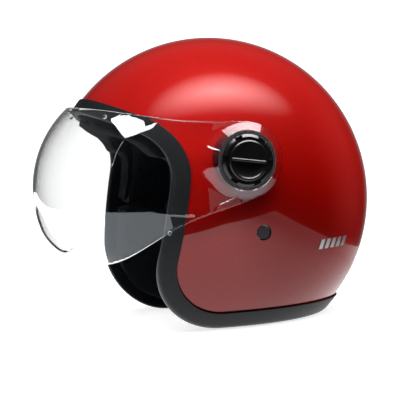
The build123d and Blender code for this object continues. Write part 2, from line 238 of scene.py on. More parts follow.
def cube_ball(half, count):
    """Ellipsoid of evenly spread four-sided cells."""
    bm = bmesh.new()
    made = {}

    def corner(key):
        if key not in made:
            bowed = np.tan(np.array(key) / count * math.pi / 4)
            made[key] = bm.verts.new(Vector(bowed / np.linalg.norm(bowed) * half))
        return made[key]

    for axis in range(3):
        for sign in (-count, count):
            for i in range(-count, count, 2):
                for j in range(-count, count, 2):
                    ring = [(i, j), (i + 2, j), (i + 2, j + 2), (i, j + 2)]
                    keys = [list(p) for p in (ring if sign > 0 else ring[::-1])]
                    for key in keys:
                        key.insert(axis, sign)
                    if axis == 1:
                        keys.reverse()
                    bm.faces.new([corner(tuple(key)) for key in keys])
    return bm


def thicken(bm, inner_of, bulge, rim_steps=4):
    """Closed solid between the sheet and inner_of(places, normals), its rims rounded outwards
    by bulge. Returns vertices and faces."""
    bm.normal_update()
    bm.verts.index_update()
    outer = coordinates(bm)
    normals = np.array([v.normal for v in bm.verts])
    inner = inner_of(outer, normals)
    count = len(outer)
    faces = [[v.index for v in f.verts] for f in bm.faces]
    faces += [[i + count for i in reversed(f)] for f in faces]
    rims = []
    out = np.zeros_like(outer)
    for edge in bm.edges:
        if edge.is_boundary:
            loop = edge.link_loops[0]
            a, b = loop.vert.index, loop.link_loop_next.vert.index
            rims.append((a, b))
            way = outer[b] - outer[a]
            away = np.cross(way, normals[a])
            out[a] += away
            out[b] += away
    on_rim = sorted({i for rim in rims for i in rim})
    out[on_rim] /= np.linalg.norm(out[on_rim], axis=1)[:, None]
    layers = [outer, inner]
    place_of = {}
    for step in range(1, rim_steps):
        angle = math.pi * step / rim_steps
        share = (1 - math.cos(angle)) / 2
        base = sum(len(layer) for layer in layers)
        for n, i in enumerate(on_rim):
            place_of[step, i] = base + n
        layers.append(
            outer[on_rim] * (1 - share) + inner[on_rim] * share
            + out[on_rim] * bulge * math.sin(angle)
        )
    for i in on_rim:
        place_of[0, i] = i
        place_of[rim_steps, i] = i + count
    for a, b in rims:
        for step in range(rim_steps):
            faces.append([place_of[step, b], place_of[step, a],
                          place_of[step + 1, a], place_of[step + 1, b]])
    return np.concatenate(layers), faces


def tube_faces(across, around):
    """Faces of a closed tube of rings, each ring a closed loop of vertices."""
    faces = []
    for j in range(across):
        k = (j + 1) % across
        for i in range(around):
            n = (i + 1) % around
            faces.append((j * around + i, j * around + n, k * around + n, k * around + i))
    return faces


def both_sides(part, body, finish, verts, faces):
    """Moulded piece on the left and its mirror image on the right, each for its own CAD node."""
    pieces = []
    for sign, hand in ((1, "left"), (-1, "right")):
        places = verts * np.array((sign, 1, 1)) + CENTRE
        name, node = part + "_" + hand + "_moulding", finish + "_" + hand
        piece = mesh_object(name, places, [f[::sign] for f in faces], BLACK, 30)
        pieces.append(attach(piece, body.replace("SIDE", hand), "black_plastic", node))
    return pieces


def disc_field(centre, radius):
    """Distance outside a circle about a side view place."""
    return lambda p: np.linalg.norm(p[:, 1:] - centre, axis=1) - radius


# ---------------------------------------------------------------- materials
def principled(name, **values):
    """Material with one Principled shader, its uniform values set on the shader's own sockets."""
    material = bpy.data.materials.new(name)
    material.use_nodes = True
    shader = material.node_tree.nodes["Principled BSDF"]
    for socket, value in values.items():
        shader.inputs[socket.replace("_", " ")].default_value = value
    return material, shader


def add_node(material, kind, **inputs):
    node = material.node_tree.nodes.new(kind)
    for socket, value in inputs.items():
        node.inputs[socket.replace("_", " ")].default_value = value
    return node


def wire(material, source, output, target, socket):
    material.node_tree.links.new(source.outputs[output], target.inputs[socket])


def place_texture(material, kind, **inputs):
    """Texture node in the row's own metres."""
    place = add_node(material, "ShaderNodeTexCoord")
    texture = add_node(material, kind, **inputs)
    wire(material, place, "Object", texture, "Vector")
    return texture


def maths(material, operation, second=None):
    node = add_node(material, "ShaderNodeMath")
    node.operation = operation
    if second is not None:
        node.inputs[1].default_value = second
    return node


def ramp(material, source, output, stops):
    node = material.node_tree.nodes.new("ShaderNodeValToRGB")
    band = node.color_ramp
    while len(band.elements) < len(stops):
        band.elements.new(stops[len(band.elements) - 1][0])
    for element, (place, colour) in zip(band.elements, stops):
        element.position = place
        element.color = (*colour, 1)
    wire(material, source, output, node, "Fac")
    return node


def bump(material, source, output, shader, strength, distance, before=None):
    node = add_node(material, "ShaderNodeBump", Strength=strength, Distance=distance)
    wire(material, source, output, node, "Height")
    if before is not None:
        wire(material, before, "Normal", node, "Normal")
    wire(material, node, "Normal", shader, "Normal")
    return node


def span(material, source, output, low, high):
    """The source's 0 to 1 mapped to low to high."""
    node = add_node(material, "ShaderNodeMapRange", To_Min=low, To_Max=high)
    wire(material, source, output, node, "Value")
    return node


def finish(material, shader, source, output, stops, low, high):
    """Colour along the stops and roughness from low to high, both by the source."""
    wire(material, ramp(material, source, output, stops), "Color", shader, "Base Color")
    wire(material, span(material, source, output, low, high), "Result", shader, "Roughness")


def candy_paint():
    """Red metallic base with fine flakes under a clear lacquer."""
    material, shader = principled(
        "candy_paint", Metallic=0.16, Coat_Weight=1.0, Coat_Roughness=0.02, Coat_IOR=1.4,
        Specular_IOR_Level=0.1
    )
    flakes = place_texture(material, "ShaderNodeTexVoronoi", Scale=2600.0)
    colour = ramp(material, flakes, "Color", [(0.0, (0.43, 0.001, 0.0)), (1.0, (0.61, 0.004, 0.001))])
    wire(material, colour, "Color", shader, "Base Color")
    cloud = place_texture(material, "ShaderNodeTexNoise", Scale=14.0, Detail=3.0)
    rough = span(material, cloud, "Fac", 0.28, 0.33)
    wire(material, rough, "Result", shader, "Roughness")
    bump(material, flakes, "Distance", shader, 0.05, 0.0001)
    return material


def moulded(name, dark, light, low, high, grain=900.0, depth=0.00004, **values):
    """Rubber or plastic with a fine moulded grain and slight handling marks."""
    material, shader = principled(name, **values)
    cloud = place_texture(material, "ShaderNodeTexNoise", Scale=45.0, Detail=6.0)
    finish(material, shader, cloud, "Fac", [(0.3, dark), (0.75, light)], low, high)
    texture = place_texture(material, "ShaderNodeTexNoise", Scale=grain, Detail=2.0)
    bump(material, texture, "Fac", shader, 0.5, depth)
    return material


def clear_plastic():
    """Clear polycarbonate. Lamps shine through it, and faint haze and wipe marks lie on it."""
    material, shader = principled(
        "clear_plastic", Base_Color=(0.91, 0.92, 0.925, 1), Transmission_Weight=1.0, IOR=1.5,
        Specular_IOR_Level=0.5, Specular_Tint=(0.86, 0.93, 1.0, 1)
    )
    marks = place_texture(material, "ShaderNodeTexNoise", Scale=30.0, Detail=5.0)
    rough = span(material, marks, "Fac", 0.0, 0.012)
    wire(material, rough, "Result", shader, "Roughness")
    path = add_node(material, "ShaderNodeLightPath")
    through = add_node(material, "ShaderNodeBsdfTransparent", Color=(0.72, 0.73, 0.74, 1))
    both = add_node(material, "ShaderNodeMixShader")
    wire(material, path, "Is Shadow Ray", both, 0)
    wire(material, shader, "BSDF", both, 1)
    wire(material, through, "BSDF", both, 2)
    output = material.node_tree.nodes["Material Output"]
    wire(material, both, "Shader", output, "Surface")
    return material


def metal(name, tone, low, high):
    """Zinc plated steel with a brushed, slightly stained finish."""
    material, shader = principled(name, Metallic=1.0)
    cloud = place_texture(material, "ShaderNodeTexNoise", Scale=120.0, Detail=8.0)
    stops = [(0.3, tuple(0.8 * c for c in tone)), (0.7, tone)]
    finish(material, shader, cloud, "Fac", stops, low, high)
    bump(material, cloud, "Fac", shader, 0.2, 0.00005)
    return material


def bead_foam():
    """Moulded bead foam, its beads pressed flat against the mould."""
    material, shader = principled("bead_foam")
    beads = place_texture(material, "ShaderNodeTexVoronoi", Scale=330.0)
    beads.feature = "DISTANCE_TO_EDGE"
    stops = [(0.0, (0.010, 0.010, 0.011)), (0.25, (0.030, 0.030, 0.032))]
    finish(material, shader, beads, "Distance", stops, 0.75, 0.9)
    bump(material, beads, "Distance", shader, 0.6, 0.0003)
    return material


def knitted(name, dark, light, stitches):
    """Fabric: rows of stitches, an uneven nap over them and a soft sheen."""
    material, shader = principled(
        name, Sheen_Weight=0.02, Sheen_Roughness=0.5, Sheen_Tint=(0.5, 0.6, 0.75, 1),
        Specular_IOR_Level=0.1
    )
    loops = place_texture(material, "ShaderNodeTexVoronoi", Scale=stitches, Randomness=0.25)
    nap = place_texture(material, "ShaderNodeTexNoise", Scale=70.0, Detail=6.0)
    both = maths(material, "MULTIPLY")
    wire(material, loops, "Distance", both, 0)
    wire(material, nap, "Fac", both, 1)
    colour = ramp(material, both, "Value", [(0.05, light), (0.40, dark)])
    wire(material, colour, "Color", shader, "Base Color")
    wire(material, span(material, nap, "Fac", 0.85, 1.0), "Result", shader, "Roughness")
    coarse = bump(material, nap, "Fac", shader, 0.3, 0.0004)
    bump(material, loops, "Distance", shader, 0.4, 0.3 / stitches, before=coarse)
    return material


PAINT = candy_paint()
RUBBER = moulded("edge_rubber", (0.009, 0.010, 0.012), (0.014, 0.015, 0.018), 0.42, 0.55,
                Specular_IOR_Level=0.2)
CLEAR = clear_plastic()
BLACK = moulded("black_plastic", (0.005, 0.005, 0.006), (0.009, 0.009, 0.010), 0.20, 0.28,
                grain=1500.0, depth=0.00003)
STEEL = metal("zinc_steel", (0.34, 0.34, 0.33), 0.30, 0.50)
DARK_RIVET = metal("blackened_rivet", (0.07, 0.065, 0.07), 0.35, 0.5)
SILVER = metal("silver_print", (0.72, 0.72, 0.73), 0.3, 0.4)
FOAM = bead_foam()
BRUSHED = knitted("brushed_lining", (0.0015, 0.0026, 0.0038), (0.004, 0.006, 0.009), 1500.0)
AIR_MESH = knitted("air_mesh_lining", (0.002, 0.003, 0.0045), (0.006, 0.009, 0.012), 900.0)
THREAD = knitted("strap_thread", (0.020, 0.020, 0.022), (0.045, 0.045, 0.048), 2500.0)
RAW_SHELL = moulded("raw_shell_inside", (0.012, 0.012, 0.013), (0.022, 0.022, 0.023), 0.55, 0.7)
WEBBING = knitted("woven_webbing", (0.006, 0.006, 0.007), (0.016, 0.016, 0.018), 1100.0)


# ---------------------------------------------------------------- shell
def build_shell():
    cells = 110
    rim_setback = 0.0003
    bm = cube_ball(SHELL_HALF, cells)
    snap = 0.0005

    def onto_skin():
        for v in bm.verts:
            v.co = v.co / math.sqrt(sum((v.co[i] / SHELL_HALF[i]) ** 2 for i in range(3)))

    fields = [lambda p: RIM_IN_CHANNEL - rim_setback - past_edge(p[:, 1:]),
              disc_field(RIVET, RIVET_HOLE + rim_setback), disc_field(PIVOT, HUB_BORE + rim_setback)]
    for field in fields:
        drop_below(bm, cut_along(bm, field, snap))
        onto_skin()
    inner_half = SHELL_HALF - SHELL_WALL
    outside = len(bm.faces)
    verts, faces = thicken(bm, lambda p, n: p / SHELL_HALF * inner_half, rim_setback)
    bm.free()
    piece = mesh_object("helmet_shell", verts + CENTRE, faces, PAINT)
    piece.data.materials.append(RAW_SHELL)
    unpainted = np.arange(len(faces)) >= outside
    piece.data.polygons.foreach_set("material_index", unpainted.astype(np.int32))
    attach(piece, "root", "shell_paint", "shell")


# ---------------------------------------------------------------- rubber edging
def ring_of(u, v, count, line):
    """Closed loop on the shell's skin moved out by v, u past the paint's edge."""
    places, outs = line
    half = SHELL_HALF + v
    moved = places + u * outs
    inside = 1 - ((moved / half[1:]) ** 2).sum(1)
    crossings = np.nonzero(np.diff(np.sign(inside)) != 0)[0]
    ends = [i + inside[i] / (inside[i] - inside[i + 1]) for i in (crossings[0], crossings[-1])]
    share = (1 - np.cos(np.linspace(0, math.pi, count + 1))) / 2
    index = ends[0] + (ends[1] - ends[0]) * share
    number = np.arange(len(moved))
    y, z = (np.interp(index, number, moved[:, i]) for i in (0, 1))
    x = half[0] * np.sqrt(np.maximum(0, 1 - (y / half[1]) ** 2 - (z / half[2]) ** 2))
    x[0] = x[-1] = 0
    left = np.stack([x, y, z], axis=1)
    right = left[-2:0:-1] * np.array((-1, 1, 1))
    return np.concatenate([left, right])


def rounded(corners, radii, steps=5):
    """Closed outline with its corners rounded by quarter-like bends."""
    outline = []
    count = len(corners)
    for i, radius in enumerate(radii):
        before, here, after = (np.array(corners[(i + k) % count]) for k in (-1, 0, 1))
        if radius == 0:
            outline.append(here)
            continue
        into = (here - before) / np.linalg.norm(here - before)
        out = (after - here) / np.linalg.norm(after - here)
        for t in np.linspace(0, 1, steps):
            a, b = here - into * radius * (1 - t), here + out * radius * t
            outline.append(a * (1 - t) + b * t)
    return outline


def build_trim():
    """U-shaped rubber moulding, its outer lip over the paint and its rolled nose in front."""
    count = 220
    air = 0.0002
    lip_floor = -SHELL_WALL - air
    channel = RIM_IN_CHANNEL + air
    section = rounded(
        [(0, 0), (0, TRIM_PROUD), (TRIM_BAND, TRIM_PROUD), (TRIM_BAND, -TRIM_DEPTH),
         (0, -TRIM_DEPTH), (0, lip_floor), (channel, lip_floor), (channel, 0)],
        [0, 0.0010, 0.0032, 0.0032, 0.0012, 0, 0, 0],
    )
    line = edge_line()
    rings = [ring_of(u, v, count, line) for u, v in section]
    faces = tube_faces(len(rings), len(rings[0]))
    piece = mesh_object("rubber_edging", np.concatenate(rings) + CENTRE, faces, RUBBER, 50)
    attach(piece, "root", "rubber_edging", "edge_trim")


# ---------------------------------------------------------------- visor
def clamped_spline(points, start_way, end_way, steps=24):
    """Smooth curve through the points, leaving and arriving along the given ways."""
    knots = np.concatenate([[0], np.cumsum(np.linalg.norm(np.diff(points, axis=0), axis=1))])
    gaps = np.diff(knots)
    count = len(points)
    system = np.zeros((count, count))
    right = np.zeros((count, 2))
    system[0, 0] = system[-1, -1] = 1
    right[0], right[-1] = start_way, end_way
    for i in range(1, count - 1):
        system[i, i - 1:i + 2] = gaps[i], 2 * (gaps[i - 1] + gaps[i]), gaps[i - 1]
        right[i] = 3 * (gaps[i] * (points[i] - points[i - 1]) / gaps[i - 1]
                        + gaps[i - 1] * (points[i + 1] - points[i]) / gaps[i])
    ways = np.linalg.solve(system, right)
    curve = []
    for i, gap in enumerate(gaps):
        for t in np.linspace(0, 1, steps, endpoint=False):
            curve.append(
                (2 * t ** 3 - 3 * t ** 2 + 1) * points[i] + (t ** 3 - 2 * t ** 2 + t) * gap * ways[i]
                + (3 * t ** 2 - 2 * t ** 3) * points[i + 1] + (t ** 3 - t ** 2) * gap * ways[i + 1]
            )
    return curve + [points[-1]]


def unit(y, z):
    return np.array((y, z)) / math.hypot(y, z)


def visor_outline():
    """Closed side view of the visor, inside to the left: top edge, ear, lower edge."""
    foot_angle = math.radians(-71)
    upper = np.array([(-0.118, 0.0862), (-0.060, 0.0732), PIVOT + (0, EAR_RADIUS)])
    foot = PIVOT + EAR_RADIUS * np.array((math.cos(foot_angle), math.sin(foot_angle)))
    lower = np.array([foot, (-0.0557, -0.0122), (-0.0867, -0.0310), (-0.1185, -0.0439),
                      (-0.1330, -0.0346), (-0.1443, -0.0215), (-0.1505, -0.0051)])
    ear = [PIVOT + EAR_RADIUS * np.array((math.cos(a), math.sin(a)))
           for a in np.linspace(math.pi / 2, foot_angle, 60)]
    outline = [np.array((-0.175, 0.0985))]
    outline += clamped_spline(upper, unit(57, -12.3), unit(1, 0))
    outline += ear[1:-1]
    outline += clamped_spline(lower, unit(-1, -0.344), unit(-0.25, 1))
    outline += [np.array((-0.175, 0.0929))]
    return np.array(outline)


def outline_field(outline):
    """Function giving the distance inside a closed outline, negative outside."""
    starts, ends = outline, np.roll(outline, -1, axis=0)

    def distance(places):
        result = np.empty(len(places))
        for first in range(0, len(places), 4000):
            p = places[first:first + 4000, None]
            way = ends - starts
            share = np.clip(((p - starts) * way).sum(2) / (way ** 2).sum(1), 0, 1)
            gap = np.linalg.norm(p - starts - share[..., None] * way, axis=2).min(1)
            above = (starts[:, 1] > p[..., 1]) != (ends[:, 1] > p[..., 1])
            rise = np.where(way[:, 1] == 0, 1e-12, way[:, 1])
            at = starts[:, 0] + (p[..., 1] - starts[:, 1]) / rise * way[:, 0]
            inside = (above & (p[..., 0] < at)).sum(1) % 2 == 1
            result[first:first + 4000] = np.where(inside, gap, -gap)
        return result

    return distance


def visor_reach(height):
    """How far the bubble stands in front of the pivot axis."""
    drop = np.clip(np.abs(height - VISOR_BOW_CENTRE[1]), 0, VISOR_BOW_RADIUS * 0.999)
    return np.sqrt(VISOR_BOW_RADIUS ** 2 - drop ** 2) - VISOR_BOW_CENTRE[0] + PIVOT[0]


BOW_SCALE = 0.130               # metres of sheet per radian round the bow


def bow(flat):
    """Sheet place (along the bow, height) to a point on the bubble, from the shell's centre."""
    turn = flat[:, 0] / BOW_SCALE
    height = flat[:, 1]
    reach = visor_reach(height)
    front = np.clip(turn, 0, math.pi)
    behind = np.maximum(-turn, turn - math.pi)
    x = VISOR_HALF_WIDTH * np.cos(front)
    y = PIVOT[0] - reach * np.sin(front) + np.maximum(behind, 0) * BOW_SCALE
    return np.stack([x, y, height], axis=1)


def box_field(centre, half, turn, corner=0.0003):
    """Function giving the distance inside a rounded box on a sheet."""
    c, s = math.cos(turn), math.sin(turn)

    def distance(p):
        away = p[:, :2] - centre
        along = np.abs(away[:, 0] * c + away[:, 1] * s) - half[0] + corner
        over = np.abs(away[:, 1] * c - away[:, 0] * s) - half[1] + corner
        outside = np.hypot(np.maximum(along, 0), np.maximum(over, 0))
        return corner - outside - np.minimum(np.maximum(along, over), 0)

    return distance


pad_field = box_field(np.array((-0.0195, -0.0010)), (0.0115, 0.0068), math.radians(21), 0.0045)


def build_visor():
    cell = 0.0017
    rim = 0.0007
    pad_slope = 0.0006
    pad_rise = 0.0005
    margin = 0.036
    bm = grid_sheet((-margin, -0.050), (math.pi * BOW_SCALE + margin, 0.1015), cell)
    on_ear = lambda radius: lambda p: np.linalg.norm(bow(p)[:, 1:] - PIVOT, axis=1) - radius
    inside = outline_field(visor_outline())
    snap = cell * 0.25
    drop_below(bm, cut_along(bm, lambda p: inside(bow(p)[:, 1:]) - rim, snap))
    drop_below(bm, cut_along(bm, on_ear(BOSS_HOLE_RADIUS + rim), snap))
    for radius in (BOSS_TOP_RADIUS, BOSS_TOP_RADIUS + 0.0006, BOSS_FOOT_RADIUS - 0.0005,
                   BOSS_FOOT_RADIUS + 0.0002):
        cut_along(bm, on_ear(radius), snap * 0.3)
    for depth in (0, pad_slope):
        cut_along(bm, lambda p: pad_field(bow(p)[:, 1:]) - depth, snap * 0.3)
    flat = coordinates(bm)
    places = bow(flat)
    from_pivot = np.linalg.norm(places[:, 1:] - PIVOT, axis=1)
    slope = (BOSS_FACE - VISOR_HALF_WIDTH) / (BOSS_FOOT_RADIUS - BOSS_TOP_RADIUS)
    cone = BOSS_FACE - slope * np.maximum(0, from_pivot - BOSS_TOP_RADIUS)
    pad = pad_rise * np.clip(pad_field(places[:, 1:]) / pad_slope, 0, 1)
    reach_out = np.maximum(np.abs(places[:, 0]) + pad, cone * (from_pivot < 0.04))
    near_side = np.abs(places[:, 0]) > VISOR_HALF_WIDTH * 0.8
    places[:, 0] = np.where(near_side, np.sign(places[:, 0]) * reach_out, places[:, 0])
    put_places(bm, places, 1, -1)
    verts, faces = thicken(bm, lambda p, n: p - n * VISOR_WALL, rim)
    bm.free()
    piece = mesh_object("clear_visor", verts + CENTRE, faces, CLEAR, 35)
    return attach(piece, "visor", "clear_visor", "visor")


# ---------------------------------------------------------------- pivot ring and cap
def knob_place(flat, height):
    """Sheet place about the pivot (nape, up) and height along +X to a point."""
    c, s = math.cos(GRIP_TILT), math.sin(GRIP_TILT)
    y = flat[:, 0] * c - flat[:, 1] * s + PIVOT[0]
    z = flat[:, 0] * s + flat[:, 1] * c + PIVOT[1]
    return np.stack([height, y, z], axis=1)


def chamfered(radius, chamfer):
    """Drop below the face at a sheet place, over the sloping edge of a round moulding."""
    slope = chamfer[1] / chamfer[0]
    return lambda p: -slope * np.maximum(np.hypot(p[:, 0], p[:, 1]) - radius + chamfer[0], 0)


def relief(radius, bore, cell, lines, height_of, chamfer):
    """Round moulding: sheet cut along each line, raised by height_of, down to the knob's floor."""
    bm = grid_sheet((-radius - cell, -radius - cell), (radius + cell, radius + cell), cell)
    out = lambda r: lambda p: r - np.hypot(p[:, 0], p[:, 1])
    drop_below(bm, cut_along(bm, out(radius), cell * 0.25))
    if bore:
        drop_below(bm, cut_along(bm, lambda p: -out(bore)(p), cell * 0.25))
    for line in lines + [out(radius - share * chamfer[0]) for share in (0.15, 1.0, 1.15)]:
        cut_along(bm, line, cell * 0.12)
    flat = coordinates(bm)
    put_places(bm, knob_place(flat, height_of(flat)), 0, 1)
    floor = lambda p, n: np.column_stack([np.full(len(p), KNOB_FLOOR), p[:, 1:]])
    verts, faces = thicken(bm, floor, 0.0, rim_steps=1)
    bm.free()
    return verts, faces


def inset(field, depth):
    return lambda p: field(p) - depth


def build_rings():
    notches = []
    for i in range(6):
        turn = math.radians(60 * i)
        middle_of = 0.0191 * np.array((math.cos(turn), math.sin(turn)))
        notches.append(box_field(middle_of, (0.0018, 0.0032), turn))
    wall = 0.0002
    lines = [inset(n, d) for n in notches for d in (0, wall)]
    surface = chamfered(RING_RADIUS, RING_CHAMFER)

    def height_of(flat):
        depth = np.max([np.clip(n(flat) / wall, 0, 1) for n in notches], axis=0)
        return (RING_FACE + surface(flat)) * (1 - depth) + (KNOB_FLOOR + 0.0003) * depth

    moulding = relief(RING_RADIUS, RING_BORE, KNOB_CELL, lines, height_of, RING_CHAMFER)
    return both_sides("pivot_ring", "root", "pivot_ring", *moulding)


def build_caps():
    """Cap with a grip ridge and, under it, a finger recess that rises again to its round rim."""
    scoop_radius, scoop_depth, wall = 0.0144, 0.0026, 0.0003
    ridge = box_field(np.array((0, 0.0001)), (0.0148, 0.0011), 0)
    ridge_slope, ridge_rise = 0.0005, 0.0005
    arc = lambda p: scoop_radius - np.hypot(p[:, 0], p[:, 1])
    under_ridge = lambda p: -0.0010 - p[:, 1]
    scoop = lambda p: np.minimum(arc(p), under_ridge(p))
    surface = chamfered(CAP_RADIUS, CAP_CHAMFER)

    def height_of(flat):
        floor = 1 - (np.hypot(flat[:, 0], flat[:, 1]) / scoop_radius) ** 2
        sunk = np.clip(under_ridge(flat) / wall, 0, 1) * np.clip(floor, 0, 1) ** 0.6
        raised = np.clip(ridge(flat) / ridge_slope, 0, 1)
        return CAP_FACE + surface(flat) - scoop_depth * sunk + ridge_rise * raised

    lines = [scoop, inset(scoop, wall), inset(arc, 0.001), ridge, inset(ridge, ridge_slope)]
    moulding = relief(CAP_RADIUS, 0, KNOB_CELL, lines, height_of, CAP_CHAMFER)
    return both_sides("pivot_cap", "cap_SIDE", "pivot_cap", *moulding)


SEAT_STEPS = ((0.0030, 0.1262), (0.0222, 0.1262), (0.0226, 0.1258), (0.0240, 0.1257),
              (0.0244, 0.1253))         # radius and distance from the middle, foot last


def build_seats():
    """Moulded seat of the visor's ear, its foot let into the shell's skin."""
    count = 96
    foot_depth = 0.0008
    turns = np.linspace(0, 2 * math.pi, count, endpoint=False)
    way = np.stack([np.cos(turns), np.sin(turns)], axis=1)
    rings = [np.column_stack([np.full(count, x), PIVOT + r * way]) for r, x in SEAT_STEPS]
    for r in (SEAT_STEPS[-1][0], SEAT_STEPS[0][0]):
        side = PIVOT + r * way
        skin = SHELL_HALF[0] * np.sqrt(1 - ((side / SHELL_HALF[1:]) ** 2).sum(1))
        rings.append(np.column_stack([skin - foot_depth, side]))
    faces = [f[::-1] for f in tube_faces(len(rings), count)]
    both_sides("pivot_seat", "root", "pivot_base", np.concatenate(rings), faces)


# ---------------------------------------------------------------- woven straps
WEBBING_HALF_WIDTH = 0.011
WEBBING_HALF_THICKNESS = 0.0008
RIB_PITCH = 0.0012
RIB_RISE = 0.00009
LINK = CENTRE + np.array((0, 0.008, -0.086))    # axis the chin strap swings about


def rounded_path(corners, radii, step=0.0003):
    """Evenly spaced points along straight runs joined by arcs, in a plane."""
    corners = [np.array(c, float) for c in corners]
    runs = [corners[0]]
    for before, here, after, radius in zip(corners, corners[1:], corners[2:], radii):
        into = (here - before) / np.linalg.norm(here - before)
        out = (after - here) / np.linalg.norm(after - here)
        bend = math.acos(np.clip(into @ out, -1, 1))
        reach = radius * math.tan(bend / 2)
        side = 1 if turned_right(into) @ out > 0 else -1
        centre = here - into * reach + side * radius * turned_right(into)
        for t in np.linspace(0, bend, 24):
            away = -side * turned_right(into) * math.cos(t) + into * math.sin(t)
            runs.append(centre + radius * away)
    runs.append(corners[-1])
    runs = np.array(runs)
    along = np.concatenate([[0], np.cumsum(np.linalg.norm(np.diff(runs, axis=0), axis=1))])
    at = np.arange(0, along[-1], step)
    return np.stack([np.interp(at, along, runs[:, i]) for i in (0, 1)], axis=1), at


def webbing(name, corners, radii, place, body, node, round_end):
    """Woven strap along a path, its ribs across it and its selvedges thinner. place puts a
    path point and a place across the width in the row. One end is cut round its rivet."""
    path, at = rounded_path(corners, radii)
    ways = np.gradient(path, axis=0)
    ways /= np.linalg.norm(ways, axis=1)[:, None]
    sides = np.stack([ways[:, 1], -ways[:, 0]], axis=1)
    shares = np.sin(np.linspace(-1, 1, 15) * math.pi / 2)
    to_end = np.clip(at if round_end == "first" else at[-1] - at, 0, WEBBING_HALF_WIDTH)
    width = WEBBING_HALF_WIDTH * np.sqrt(np.maximum(1 - (1 - to_end / WEBBING_HALF_WIDTH) ** 2, 4e-4))
    faces, verts = [], []
    for face_side in (1, -1):
        for column, share in enumerate(shares):
            twill = RIB_RISE * np.cos(2 * math.pi * (at / RIB_PITCH + 0.5 * (column % 2)))
            body_of = WEBBING_HALF_THICKNESS - RIB_RISE - 0.00035 * abs(share) ** 8
            off = face_side * (body_of + twill)
            verts.append(place(path + sides * off[:, None], width * share))
    rows, count = len(verts) // 2, len(at)
    loop = list(range(rows)) + list(range(2 * rows - 1, rows - 1, -1))
    for a, b in zip(loop, loop[1:] + loop[:1]):
        faces += [(a * count + i, a * count + i + 1, b * count + i + 1, b * count + i)
                  for i in range(count - 1)]
    faces.append([a * count for a in loop])
    faces.append([a * count + count - 1 for a in reversed(loop)])
    piece = mesh_object(name, np.concatenate(verts), faces, WEBBING, 60)
    solid = bmesh.new()
    solid.from_mesh(piece.data)
    bmesh.ops.recalc_face_normals(solid, faces=solid.faces)
    solid.to_mesh(piece.data)
    solid.free()
    return attach(piece, body, "webbing", node)


def stitch_row(start, end, out, length=0.0022, gap=0.0009, radius=0.00028):
    """Stitches from start to end, each a short rounded thread, standing off along out."""
    run = end - start
    way = run / np.linalg.norm(run)
    across = np.cross(out, way)
    number = max(1, int((np.linalg.norm(run) + gap) / (length + gap)))
    verts, faces = [], []
    for n in range(number):
        first = start + way * n * (length + gap)
        for t in (0, 0.2, 0.8, 1):
            lift = 0.35 if t in (0, 1) else 1.0
            for k in range(8):
                turn = k * math.pi / 4
                spoke = across * math.cos(turn) + out * math.sin(turn)
                verts.append(first + way * length * t + spoke * radius * lift)
        base = len(verts) - 32
        for ring in range(3):
            for k in range(8):
                a, b = base + ring * 8 + k, base + ring * 8 + (k + 1) % 8
                faces.append((a, b, b + 8, a + 8))
        faces.append([base + k for k in reversed(range(8))])
        faces.append([base + 24 + k for k in range(8)])
    return verts, faces


def stitch_box(name, middle, along, across, out, half, body):
    """Square of stitches crossed from corner to corner, on both faces of a strap."""
    corner = lambda a, b: middle + along * half[0] * a + across * half[1] * b
    ends = [(-1, -1), (1, -1), (1, 1), (-1, 1)]
    lines = [(ends[i], ends[(i + 1) % 4]) for i in range(4)] + [(ends[0], ends[2]), (ends[1], ends[3])]
    verts, faces = [], []
    for side in (1, -1):
        lifted = out * side * (WEBBING_HALF_THICKNESS - 0.00005)
        for a, b in lines:
            v, f = stitch_row(corner(*a) + lifted, corner(*b) + lifted, out * side)
            faces += [[i + len(verts) for i in face] for face in f]
            verts += v
    attach(mesh_object(name, verts, faces, THREAD), body, "webbing")


def build_straps():
    x, y, z = np.eye(3)
    half_gap, reach, bend = 0.0596, 0.051, 0.030
    buckle_sides = {"left": 0.0239, "right": 0.0259}
    for sign, hand in ((1, "left"), (-1, "right")):
        loop = [(sign * half_gap, -WEBBING_HALF_WIDTH), (sign * half_gap, reach),
                (sign * buckle_sides[hand], reach)]
        webbing("chin_webbing_" + hand, loop, [bend],
                lambda p, w: LINK + p[:, :1] * x + p[:, 1:] * y + np.outer(w, z),
                "chin_strap", "strap_webbing_" + hand, "first")
        stitch_box("chin_stitching_" + hand, LINK + np.array((sign * half_gap, 0.0105, 0)), y, z,
                   sign * x, (0.0035, 0.0080), "chin_strap")
        hanger = [(sign * 0.1117, -0.014), (sign * 0.1062, -0.040), (sign * 0.0960, -0.0685),
                  (sign * 0.0740, -0.0986), (sign * 0.0620, -0.0986), (sign * 0.0620, -0.0750)]
        webbing("hanger_webbing_" + hand, hanger, [0.08, 0.08, 0.005, 0.003],
                lambda p, w: np.array((0, LINK[1], CENTRE[2])) + p[:, :1] * x + p[:, 1:] * z
                + np.outer(w, y),
                "root", "strap_hanger_" + hand, "last")


# ---------------------------------------------------------------- padded lining
def mesh_places(mesh):
    flat = np.empty(len(mesh.vertices) * 3)
    mesh.vertices.foreach_get("co", flat)
    return flat.reshape(-1, 3)


def mesh_normals(mesh):
    flat = np.empty(len(mesh.vertices) * 3)
    mesh.vertex_normals.foreach_get("vector", flat)
    return flat.reshape(-1, 3)


def set_places(mesh, places):
    mesh.vertices.foreach_set("co", places.ravel())
    mesh.update()


def evaluated_mesh(piece):
    graph = bpy.context.evaluated_depsgraph_get()
    return bpy.data.meshes.new_from_object(piece.evaluated_get(graph))


